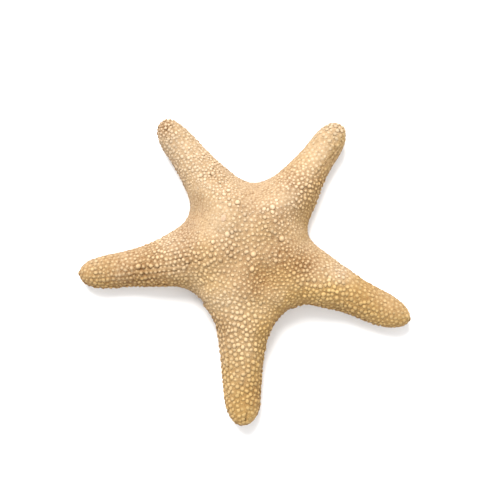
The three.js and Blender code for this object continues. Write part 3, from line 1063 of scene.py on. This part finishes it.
foot_piece = grown(
    "tube_feet",
    feet[:, :3] + [*DISC_CENTRE, 0],
    foot_finish,
    dict(Sides=6, Rings=4, Fullness=0.25, Crowding=0.8, Unevenness=0.5 * MM),
    facing=feet[:, 3:6],
    girth=feet[:, 7] * rng.uniform(0.8, 1.1, len(feet)) * MM,
    rise=feet[:, 6] * MM,
    stretch=rng.uniform(1.0, 1.3, len(feet)),
    turn=rng.uniform(0, 2 * math.pi, len(feet)),
    tone=rng.normal(0, 1.2, len(feet)),
    gold=np.clip(rng.normal(0.6, 0.2, len(feet)), 0, 1),
    soil=np.full(len(feet), 0.5),
)
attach(foot_piece, "root")
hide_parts("starfish")


# ------------------------------
# The pore plate: a small round chalk button off the middle of the disc, through which the animal
# drew its water. It is cut all over by fine winding furrows that run out to its edge.

PORE_PLACE = (-11.7, 12.8)
PORE_RADIUS = 1.6
PORE_RISE = 0.3
PORE_SIDES = 48
PORE_RINGS = 9
PORE_FURROWS = 14
PORE_LIFT = 0.16
PORE_CUT = 0.13  # mm, the depth of its furrows
PORE_SKIRT = 0.35  # mm that its edge goes down into the skin
PORE_OVAL = 0.85
top, normal = back_under(*PORE_PLACE)
upright = normal.to_track_quat("Z", "Y").to_matrix()
pore_at = []
pore_depth = []
for ring in range(PORE_RINGS + 1):
    r = ring / PORE_RINGS
    for side in range(PORE_SIDES if ring else 1):
        turn = 2 * math.pi * side / PORE_SIDES
        wind = PORE_FURROWS * turn + 2.2 * math.sin(3 * turn + 4 * r) + 5 * r
        ridge_at = 0.5 + 0.5 * math.cos(wind)
        swell = PORE_RISE * (1 - r**4) + PORE_LIFT
        furrow = PORE_CUT * (1 - ridge_at) * min(1.0, 3 * r) * (r < 1)
        height = swell - furrow - PORE_SKIRT * (r == 1)
        reach = PORE_RADIUS * r * (1 + 0.05 * math.sin(2 * turn + 1))
        spot = Vector((reach * math.cos(turn), PORE_OVAL * reach * math.sin(turn), height))
        pore_at.append(top + upright @ spot)
        pore_depth.append(1 - ridge_at if r else 0.5)
faces = [(0, 1 + i, 1 + (i + 1) % PORE_SIDES) for i in range(PORE_SIDES)]
for ring in range(PORE_RINGS - 1):
    inner, outer = 1 + ring * PORE_SIDES, 1 + (ring + 1) * PORE_SIDES
    for i in range(PORE_SIDES):
        j = (i + 1) % PORE_SIDES
        faces.append((inner + i, outer + i, outer + j, inner + j))
faces.append([1 + (PORE_RINGS - 1) * PORE_SIDES + i for i in reversed(range(PORE_SIDES))])
pore_mesh = bpy.data.meshes.new("pore_plate")
pore_mesh.from_pydata([p * MM for p in pore_at], [], faces)
pore_mesh.polygons.foreach_set("use_smooth", [True] * (len(faces) - 1) + [False])
nothing = np.zeros(len(pore_at))
paint(pore_mesh, depth=pore_depth, tone=nothing, gold=nothing, soil=nothing + 0.25)
pore_mesh.materials.append(
    dried_material("pore_chalk", "#c8ad92", "#b99a70", "#7f5d3a", "depth", "tone", grain=0.5)
)
pore_plate = in_scene("pore_plate", pore_mesh)
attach(pore_plate, "root")
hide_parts("starfish")


# ------------------------------
# The tip plates: the single smooth plate that caps each arm, the oldest on it, which carried the
# eye spot. It sits where the back, the sides and the groove run out.

TIP_GIRTH = 1.35
TIP_RISE = 0.75
TIP_SINK = 0.1
TIP_CORE = 4.5  # mm above the table, where the middle of an arm's end lies
tips = []
tip_facing = []
for line, along, even in LINES:
    start = Vector((*(line[-30] + DISC_CENTRE), TIP_CORE))
    hit, normal, _, _ = surface.ray_cast(start, Vector((*along[-1], 0.1)))
    tips.append(hit)
    tip_facing.append(normal)
tips = np.array(tips)
tip_facing = np.array(tip_facing)
each = np.ones(len(tips))
tip_piece = grown(
    "tip_plates",
    tips - TIP_SINK * tip_facing,
    bead_finish,
    dict(Sides=12, Rings=5, Fullness=0.6, Crowding=0.75, Unevenness=0.5 * MM),
    facing=tip_facing,
    girth=each * TIP_GIRTH * MM,
    rise=each * TIP_RISE * MM,
    stretch=each * 1.2,
    turn=each * 0.0,
    tone=each,
    gold=each * 0.6,
    soil=each * 0.35,
)
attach(tip_piece, "root")
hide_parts("starfish")


# ------------------------------
# The table: a plain pale sheet under the starfish, with a soft studio light over its upper left,
# a weak one opposite, and a camera that looks straight down.

TABLE_SIZE = 3.0
LIT_PLACE = (0, 0.01, 0)
sheet = bpy.data.meshes.new("table")
half = TABLE_SIZE / 2
corners = [(-half, -half, 0), (half, -half, 0), (half, half, 0), (-half, half, 0)]
sheet.from_pydata(corners, [], [(0, 1, 2, 3)])
table = in_scene("table", sheet)
pale = bpy.data.materials.new("pale_table")
pale.use_nodes = True
matte = pale.node_tree.nodes["Principled BSDF"].inputs
matte["Base Color"].default_value = (0.95, 0.95, 0.95, 1)
matte["Roughness"].default_value = 0.9
sheet.materials.append(pale)


def soft_box(name, place, size, watts):
    """A round soft light that points at the starfish."""
    lamp = bpy.data.lights.new(name, "AREA")
    lamp.shape = "DISK"
    lamp.size = size
    lamp.energy = watts
    holder = in_scene(name, lamp)
    holder.location = place
    holder.rotation_euler = (Vector(LIT_PLACE) - Vector(place)).to_track_quat("-Z", "Y").to_euler()


soft_box("key", (-0.42, 1.45, 1.65), size=1.4, watts=82)
soft_box("fill", (1.2, -0.8, 1.6), size=1.6, watts=10)

world = bpy.context.scene.world or bpy.data.worlds.new("studio")
bpy.context.scene.world = world
world.use_nodes = True
sky = world.node_tree.nodes["Background"].inputs
sky["Color"].default_value = (1, 1, 1, 1)
sky["Strength"].default_value = 0.86
bpy.context.scene.view_settings.view_transform = "Standard"

CAMERA_HEIGHT = 0.9
VIEW_WIDTH = 0.225  # m, across the picture at the height of the arms' outline
OUTLINE_HEIGHT = 8 * MM
lens = bpy.data.cameras.new("camera")
camera = in_scene("camera", lens)
camera.location = (0.0029, 0.01065, CAMERA_HEIGHT)
lens.sensor_width = 36
lens.lens = lens.sensor_width * (CAMERA_HEIGHT - OUTLINE_HEIGHT) / VIEW_WIDTH
lens.clip_start = 0.01
bpy.context.scene.camera = camera
